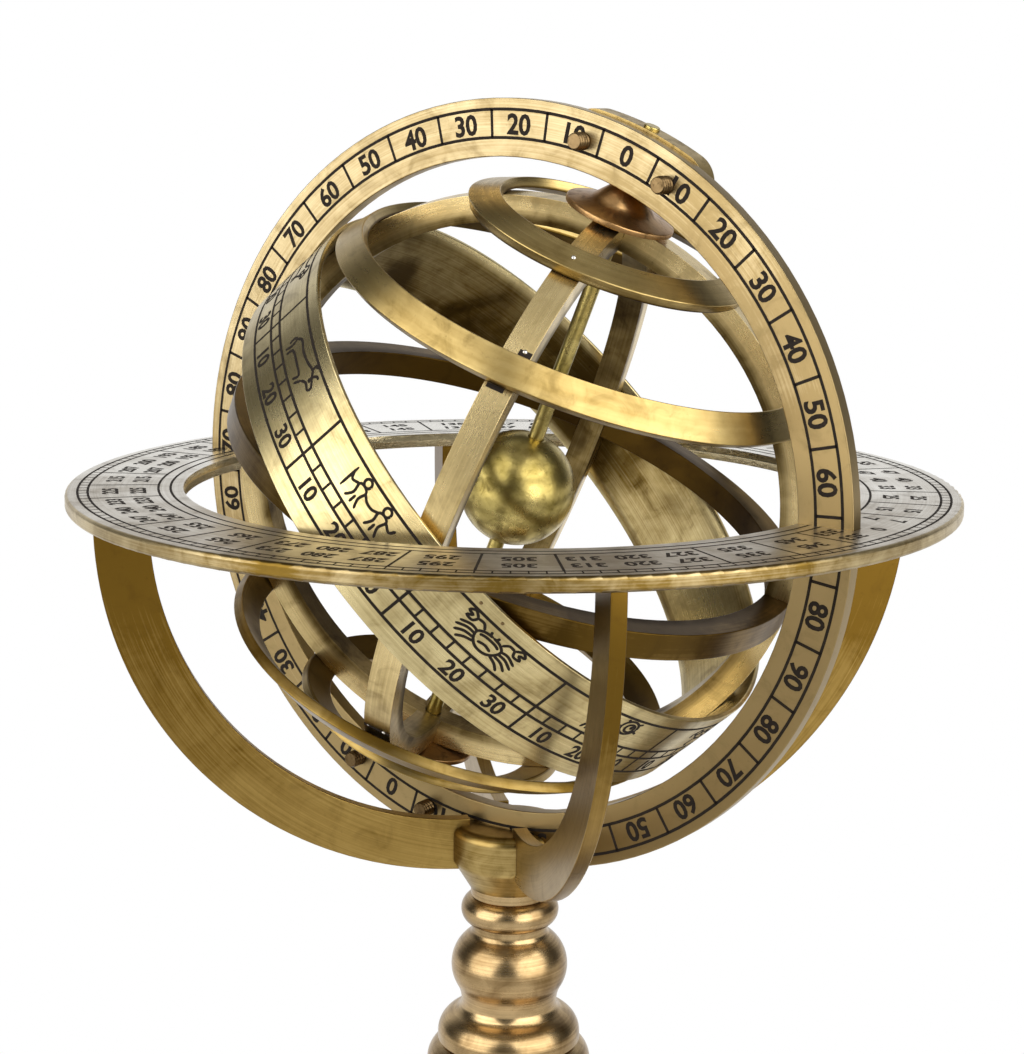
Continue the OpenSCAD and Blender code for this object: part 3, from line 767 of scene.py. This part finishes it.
def rivets(name, places, material, body):
    """Round rivet heads: each place is a frame whose Z points out, a radius and a height."""
    points, faces = [], []
    for matrix, radius, high in places:
        head, sides = dome(radius, high)
        start = len(points)
        points += [matrix @ (Vector(point) * MM) for point in head]
        faces += [tuple(start + corner for corner in side) for side in sides]
    return new_piece(name, points, faces, material, body, smooth=True)


def on_cylinder(frame_of, radius, around, along):
    """A frame on a cylinder about Z, with Z pointing out; the angle is in degrees."""
    out = Vector((math.cos(math.radians(around)), math.sin(math.radians(around)), 0))
    place = out * radius + Vector((0, 0, along))
    return frame_of @ frame_matrix(place, Vector((0, 0, 1)), out)


def finish_stand(colours):
    """Finishes the column, the arms and the horizon ring."""
    umber = colours.umber
    column_brass = brass(
        "column_brass", CENTRE, UP, (*COLUMN_TINTS, umber),
        tarnish=0.62, patina=0.25, polish=0.2, grain=0.2, turned=True,
    )
    paint(["base", "column_lower", "column_collar", "column_upper"], column_brass)
    head_brass = brass(
        "head_brass", CENTRE, UP, (colours.gold, colours.olive, umber),
        tarnish=0.85, patina=0.35, polish=0.22, grain=0.4, turned=True,
    )
    paint(["arm_head"], head_brass)
    paint(["tie_rod", "base_nut"], cast_brass("steel", (*STEEL_TINTS, umber), patina=0.3, polish=0.3))
    for number in range(1, 5):
        low, high = map(Vector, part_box(f"arm_{number}"))
        middle = (low + high) / 2
        across = Vector((-middle.y, middle.x, 0)).normalized()
        # Painted shade: each arm is darker towards the top
        arm_brass = brass(
            f"arm_brass_{number}", CENTRE, across, (*ARM_TINTS, umber),
            tarnish=1.3, patina=0.25, polish=0.22, grain=0.4, mottle=0.5, painted_shade_gradient=(0, 0, 1.05),
        )
        paint([f"arm_{number}"], arm_brass)
    low, high = ((Vector(corner) - CENTRE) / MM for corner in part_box("horizon_ring"))
    rounding = HORIZON_EDGE_ROUNDING
    # Painted shade and reflection: the ring is darker on its side towards the camera
    horizon_brass = brass(
        "horizon_brass", CENTRE, UP, (HORIZON_RIM, colours.olive, umber),
        tarnish=0.33, patina=0.25, polish=0.24, grain=0.5, painted_shade_gradient=(0.37, -0.56, 0),
        face=(high.z, colours.silver, HORIZON_FACE_TARNISH),
        rim=(high.x - rounding, low.z + rounding, high.z - rounding),
    )
    paint(["horizon_ring"], horizon_brass, edge=0)


def finish_meridian(colours):
    """Finishes the meridian ring, its blocks and screws."""
    # Painted shade: the ring is darker towards +X and towards its bottom
    meridian_brass = brass(
        "meridian_brass", CENTRE, (0, 1, 0), (*MERIDIAN_TINTS, colours.umber),
        tarnish=1.1, patina=0.25, polish=0.24, grain=0.6, mottle=0.7, painted_shade_gradient=(0.24, 0, -0.45),
    )
    paint(["meridian_ring"], meridian_brass)
    block_brass = cast_brass("dark_brass", (colours.gold, colours.olive, colours.umber))
    paint(["north_block", "south_block"], block_brass)
    paint(["block_screws"], screw_material())


def finish_sphere(colours, sizes):
    """Finishes the rod, the ball and the hubs, and the cage's hoops, bars and zodiac band."""
    umber = colours.umber
    hub_brass = cast_brass("hub_brass", (*HUB_TINTS, umber), patina=0.7, polish=0.28)
    paint(["north_hub", "south_hub"], hub_brass)
    rod_brass = cast_brass("rod_brass", (*ROD_TINTS, umber), polish=0.24, tarnish=0.52)
    paint(["polar_rod", "earth_ball"], rod_brass)
    for node, tarnish in (
        ("cancer_hoop", 0.6), ("arctic_hoop", 0.5), ("capricorn_hoop", 0.95), ("antarctic_hoop", 0.8)
    ):
        # Darker on their inner faces: partly patina, partly painted shade
        hoop_brass = brass(
            f"{node}_brass", AXIS_POINT, tuple(POLE), (colours.gold, colours.olive, umber),
            tarnish=tarnish, patina=0.3, polish=0.2, grain=0.6, mottle=0.55, patina_and_shade_range=(60.75, 61.3),
        )
        paint([node], hoop_brass)
    cage = cage_frame(sizes).to_3x3()
    for node, axis, tints, tarnish in (
        ("equator_ring", POLE, EQUATOR_TINTS, 0.95),
        ("solstice_colure", cage.col[1], COLURE_TINTS, 0.25),
        ("equinox_colure", cage.col[0], COLURE_TINTS, 0.25),
    ):
        # Darker on their inner faces: partly patina, partly painted shade
        bar_brass = brass(
            f"{node}_brass", AXIS_POINT, tuple(axis), (*tints, umber),
            tarnish=tarnish, patina=0.3, polish=0.22, grain=0.5, patina_and_shade_range=(55.5, 58.0),
        )
        paint([node], bar_brass)
    north = zodiac_frame(sizes).to_3x3().col[2]
    # Painted shade: darker towards the bottom; its inner face is darker too, more so from 30 mm below
    # the centre upwards, partly patina and partly painted shade
    zodiac_brass = brass(
        "zodiac_brass", AXIS_POINT, tuple(north), (*ZODIAC_TINTS, umber),
        tarnish=0.44, patina=0.3, polish=0.22, grain=0.35, mottle=0.8, painted_shade_gradient=(0, 0, -0.2),
        patina_and_shade_range=(61.0, 62.2, -30, 5),
    )
    paint(["zodiac_band"], zodiac_brass)


class ARMILLARY_OT_finishes(bpy.types.Operator):
    """Gives every CAD part its brass finish"""

    bl_idname = "armillary.finishes"
    bl_label = "Finishes"

    def execute(self, context):
        colours = context.scene.armillary_colours
        finish_stand(colours)
        finish_meridian(colours)
        finish_sphere(colours, context.scene.armillary_sizes)
        return {"FINISHED"}


class ARMILLARY_OT_meridian_scale(bpy.types.Operator):
    """Engraves the meridian ring's front face with its quadrants of degrees"""

    bl_idname = "armillary.meridian_scale"
    bl_label = "Meridian scale"

    def execute(self, context):
        sizes = context.scene.armillary_sizes
        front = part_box("meridian_ring")[0][1]
        right = Vector((POLE.z, 0, -POLE.x))
        face = frame_matrix(Vector((CENTRE.x, front, CENTRE.z)), right, Vector((0, -1, 0)))
        inner, outer = 70.5 * MM, 76.0 * MM
        middle = (inner + outer) / 2
        scale = Engraving(sizes.fill_height)
        scale.circle(inner, sizes.line_width)
        scale.circle(outer, sizes.line_width)
        # Cells of 10 degrees, numbered from 0 at each pole to 90 at the equator
        for turn in range(-180, 180, 10):
            scale.spoke(math.radians(90 - turn - 5), inner, outer, sizes.line_width)
            number = 90 - abs(90 - abs(turn))
            scale.ring_text(str(number), middle, math.radians(90 - turn), sizes.numeral_height)
        scale.lay("meridian_scale", face, fill_material(), "meridian")
        return {"FINISHED"}


class ARMILLARY_OT_horizon_scale(bpy.types.Operator):
    """Engraves the horizon ring's top face with circles, cells and degrees"""

    bl_idname = "armillary.horizon_scale"
    bl_label = "Horizon scale"

    def execute(self, context):
        sizes = context.scene.armillary_sizes
        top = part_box("horizon_ring")[1][2]
        face = Matrix.Translation(Vector((CENTRE.x, CENTRE.y, top)))
        border, inner, outer, rim = (radius * MM for radius in (69.3, 71.7, 85.5, 87.5))
        width = 0.8 * sizes.line_width
        scale = Engraving(sizes.fill_height)
        for radius in (border, inner, outer, rim):
            scale.circle(radius, width)
        # Cells of 20, 10 and 10 degrees in turn; the wide ones hold three numbers in each row
        start = -90
        while start < 270:
            cell, count = (20, 3) if (start + 90) % 40 == 0 else (10, 1)
            scale.spoke(math.radians(start), inner, outer, width)
            for radius in (81.2 * MM, 75.8 * MM):
                for place in range(count):
                    degree = start + cell * (place + 0.5) / count
                    number = str(int(round(degree)) % 360)
                    scale.ring_text(number, radius, math.radians(degree), 3.1 * MM)
            start += cell
        for tick in range(0, 360, 2):
            scale.spoke(math.radians(tick), outer, rim, 0.5 * sizes.line_width)
        scale.lay("horizon_scale", face, fill_material(), "stand")
        return {"FINISHED"}


class ARMILLARY_OT_zodiac_engraving(bpy.types.Operator):
    """Engraves the zodiac band with its borders, degrees and signs"""

    bl_idname = "armillary.zodiac_engraving"
    bl_label = "Zodiac engraving"

    def execute(self, context):
        sizes = context.scene.armillary_sizes
        place = zodiac_frame(sizes)
        radius = radii("zodiac_band", place)[1]
        turn = radius * math.radians(1)
        fill = fill_material()
        width = sizes.line_width
        # Heights on the band: its border lines, and the two lines that hold the degrees' rungs
        south, rungs_south, rungs_north, north = (high * MM for high in (-8.3, -3.5, -1.0, 6.9))
        border = Engraving(sizes.fill_height)
        for height in (south, rungs_south, rungs_north, north):
            border.line([(turn * (step * 1.5 - 180), height) for step in range(241)], width)
        figures = Engraving(sizes.fill_height)
        for sign, figure in enumerate(SIGNS):
            start = -179 + 30 * sign
            border.line([(turn * start, south), (turn * start, north)], width)
            for rung in range(1, 8):
                at = turn * (start + 3.75 * rung)
                border.line([(at, rungs_south), (at, rungs_north)], 0.85 * width)
            for index, number in enumerate(("10", "20", "30")):
                border.text(number, turn * (start + 5.5 + 9.5 * index), -5.9 * MM, 3.3 * MM)
            middle = turn * (start + 15)
            for stroke in figure:
                path = [(middle + x * MM, (y + 3.0) * MM) for x, y in rounded(stroke)]
                figures.line(path, 0.95 * width, taper=0.5)
        border.wrap("zodiac_border", place, radius, fill, "sphere")
        figures.wrap("zodiac_figures", place, radius, fill, "sphere")
        return {"FINISHED"}


class ARMILLARY_OT_rivets(bpy.types.Operator):
    """Adds the small rivets of the cage and the black marks beside them, partly dark joints and partly
    painted shadow under the hoops
    """

    bl_idname = "armillary.rivets"
    bl_label = "Rivets"

    def execute(self, context):
        sizes = context.scene.armillary_sizes
        cage = cage_frame(sizes)
        # The front bar's outer face is a cylinder whose angle runs north from the equator
        bar = cage @ Matrix(((0, 0, -1, 0), (-1, 0, 0, 0), (0, 1, 0, 0), (0, 0, 0, 1)))
        radius = radii("equinox_colure", bar)[1]
        # Black marks beside the crossings: partly dark joints, partly painted shadow under the hoops
        wax = Engraving(0.05 * MM, 0.2 * MM)
        for north, start, end, width in (
            (43.9, -2.7, -0.2, 1.9), (36.2, -1.2, 2.2, 1.3), (-40.2, -2.78, 2.78, 1.3),
        ):
            at = radius * math.radians(north)
            wax.line([(at, start * MM), (at, end * MM)], width * MM, taper=0.7)
        wax.wrap("crossing_joints_and_shadow", bar, radius, fill_material(), "sphere")
        band = zodiac_frame(sizes)
        wide = radii("zodiac_band", band)[1]
        pins = [(on_cylinder(band, wide, around, 8.2 * MM), 0.36, 0.15) for around in (-80, -75)]
        rivets("band_pins", pins, screw_material(), "sphere")
        places = [
            (on_cylinder(bar, radius, north, along * MM), size, 0.6 * size)
            for north, along, size in ((44.3, -1.2, 0.5), (-40.2, 1.9, 0.28), (-40.2, -1.5, 0.45))
        ]
        # One more, on the arctic hoop
        north = math.radians(65.2)
        out = Vector((0, -math.cos(north), math.sin(north)))
        places.append((cage @ frame_matrix(out * 62.75 * MM, Vector((1, 0, 0)), out), 0.5, 0.35))
        silver = cast_brass("rivet_silver", RIVET_TINTS, patina=0.3, polish=0.22, pits=0.02)
        rivets("cage_rivets", places, silver, "sphere")
        return {"FINISHED"}


class ARMILLARY_OT_screw_threads(bpy.types.Operator):
    """Cuts the threads of the screws' ends that stand out of the meridian ring"""

    bl_idname = "armillary.screw_threads"
    bl_label = "Screw threads"

    def execute(self, context):
        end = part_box("block_screws")[0][1]
        ring = frame_matrix(AXIS_POINT, Vector((1, 0, 0)), Vector((0, 1, 0)))
        middle = sum(radii("meridian_ring", ring)) / 2
        first, length, pitch, core, crest = 0.1, 3.15, 0.85, 1.52, 0.26
        rows, count = 42, 20
        points, faces = [], []
        for turn in map(math.radians, (-8, 8, 172, 188)):
            screw = CENTRE + POLAR.to_3x3() @ Vector((math.sin(turn), 0, math.cos(turn))) * middle
            start = len(points)
            for row in range(rows + 1):
                along = first + length * row / rows
                for step in range(count):
                    phase = (along / pitch + step / count) % 1.0
                    # The thread runs in over the first half millimetre
                    depth = min(1.0, along / 0.5) * (1 - abs(2 * phase - 1))
                    radius = (core + crest * depth) * MM
                    angle = 2 * math.pi * step / count
                    x, z = radius * math.cos(angle), radius * math.sin(angle)
                    points.append((screw.x + x, end + along * MM, screw.z + z))
            for row in range(rows):
                for step in range(count):
                    here, after = (start + row * count + at for at in (step, (step + 1) % count))
                    faces.append((here, after, after + count, here + count))
        new_piece("screw_threads", points, faces, screw_material(), "meridian", smooth=True)
        return {"FINISHED"}


def floor_paper():
    """White paper that holds the object's shadow and fades to plain white away from it."""
    finish = Finish("floor_paper")
    point = finish.place()
    tone = finish.mix(finish.noise(point, 0.4, 3, 0.6), (0.84, 0.83, 0.82), (0.88, 0.87, 0.86))
    paper = finish.node("ShaderNodeBsdfDiffuse", {}, {"Color": tone})
    glow = finish.node("ShaderNodeEmission", {}, {"Color": (1, 1, 1)})
    away = finish.vector("LENGTH", point, output=1).step(95.0, 215.0)
    seen = finish.node("ShaderNodeLightPath", output="Is Camera Ray")
    mirrored = finish.node("ShaderNodeLightPath", output="Is Glossy Ray")
    shown = away * (seen + mirrored).clamped()
    both = finish.node("ShaderNodeMixShader", {}, {0: shown, 1: paper, 2: glow})
    finish.node("ShaderNodeOutputMaterial", {}, {"Surface": both})
    return finish.owner


def studio_world(facing):
    """A room that is dark but for a pale ceiling and, where it faces, a white backdrop.

    The camera itself sees plain white.
    """
    room = Finish("studio", "worlds")
    way = room.node("ShaderNodeTexCoord", output="Generated")
    high = room.node("ShaderNodeSeparateXYZ", {}, {0: way}, "Z")
    ahead = room.vector("DOT_PRODUCT", way, facing, output=1)
    backdrop = ahead.step(0.40, 0.90) * high.step(0.75, 0.45)
    ceiling = 0.03 + high.step(0.80, 0.97) * 0.52
    lit = {"Color": (1, 1, 1), "Strength": backdrop * 0.9 + ceiling}
    walls = room.node("ShaderNodeBackground", {}, lit)
    white = room.node("ShaderNodeBackground", {}, {"Color": (1, 1, 1)})
    seen = room.node("ShaderNodeLightPath", output="Is Camera Ray")
    both = room.node("ShaderNodeMixShader", {}, {0: seen, 1: walls, 2: white})
    room.node("ShaderNodeOutputWorld", {}, {"Surface": both})
    return room.owner


class ARMILLARY_OT_studio(bpy.types.Operator):
    """Sets up the pale floor, the white background, the lamps and the camera"""

    bl_idname = "armillary.studio"
    bl_label = "Studio"

    def execute(self, context):
        scene = context.scene
        mesh = bpy.data.meshes.new("floor")
        reach = 6.0
        corners = [(-reach, -reach, 0), (reach, -reach, 0), (reach, reach, 0), (-reach, reach, 0)]
        mesh.from_pydata(corners, [], [(0, 1, 2, 3)])
        mesh.materials.append(floor_paper())
        floor = bpy.data.objects.new("floor", mesh)
        scene.collection.objects.link(floor)

        camera_data = bpy.data.cameras.new("camera")
        camera_data.lens = 76.27
        camera_data.sensor_width = 36.0
        camera_data.clip_start = 0.01
        camera = bpy.data.objects.new("camera", camera_data)
        right = Vector((0.82412, 0.56632, 0.01032))
        up = Vector((-0.11731, 0.15283, 0.98127))
        look = Vector((-0.55413, 0.80989, -0.19239))
        camera.matrix_world = Matrix.LocRotScale(
            Vector((0.252838, -0.370256, 0.305918)), Matrix((right, up, -look)).transposed(), None
        )
        scene.collection.objects.link(camera)
        scene.camera = camera

        # Two tall soft boxes: turned from the camera's side and lifted, in degrees
        toward = math.atan2(-look.y, -look.x)
        distance, lift, middle = 1.3, math.radians(27), Vector((0, 0, 0.18))
        for name, turn, width, power in (("left_box", -57, 1.34, 27), ("right_box", 47, 1.55, 37)):
            lamp_data = bpy.data.lights.new(name, "AREA")
            lamp_data.shape = "RECTANGLE"
            lamp_data.size = width
            lamp_data.size_y = 1.9
            lamp_data.energy = power
            lamp = bpy.data.objects.new(name, lamp_data)
            angle = toward + math.radians(turn)
            level = math.cos(lift)
            way = Vector((level * math.cos(angle), level * math.sin(angle), math.sin(lift)))
            lamp.location = way * distance + middle
            lamp.rotation_euler = way.to_track_quat("Z", "Y").to_euler()
            lamp.visible_camera = False
            scene.collection.objects.link(lamp)

        scene.world = studio_world((-math.cos(toward), -math.sin(toward), 0.0))
        scene.view_settings.view_transform = "Standard"
        return {"FINISHED"}


# ---- Panel and registration ----


class ARMILLARY_PT_panel(bpy.types.Panel):
    """The armillary sphere's tools"""

    bl_label = "Armillary Sphere"
    bl_space_type = "VIEW_3D"
    bl_region_type = "UI"
    bl_category = "Armillary"

    def draw(self, context):
        for settings in (context.scene.armillary_sizes, context.scene.armillary_colours):
            for name in settings.__annotations__:
                self.layout.prop(settings, name)
        for tool in TOOLS:
            self.layout.operator(tool.bl_idname)


TOOLS = (
    ARMILLARY_OT_finishes,
    ARMILLARY_OT_meridian_scale,
    ARMILLARY_OT_horizon_scale,
    ARMILLARY_OT_zodiac_engraving,
    ARMILLARY_OT_rivets,
    ARMILLARY_OT_screw_threads,
    ARMILLARY_OT_studio,
)
CLASSES = (ArmillarySizes, ArmillaryColours, *TOOLS, ARMILLARY_PT_panel)


def register():
    for made in CLASSES:
        bpy.utils.register_class(made)
    bpy.types.Scene.armillary_sizes = PointerProperty(type=ArmillarySizes)
    bpy.types.Scene.armillary_colours = PointerProperty(type=ArmillaryColours)


def unregister():
    del bpy.types.Scene.armillary_sizes
    del bpy.types.Scene.armillary_colours
    for made in reversed(CLASSES):
        bpy.utils.unregister_class(made)


def main():
    register()
    for tool in TOOLS:
        group, name = tool.bl_idname.split(".")
        getattr(getattr(bpy.ops, group), name)()


if __name__ == "__main__":
    main()
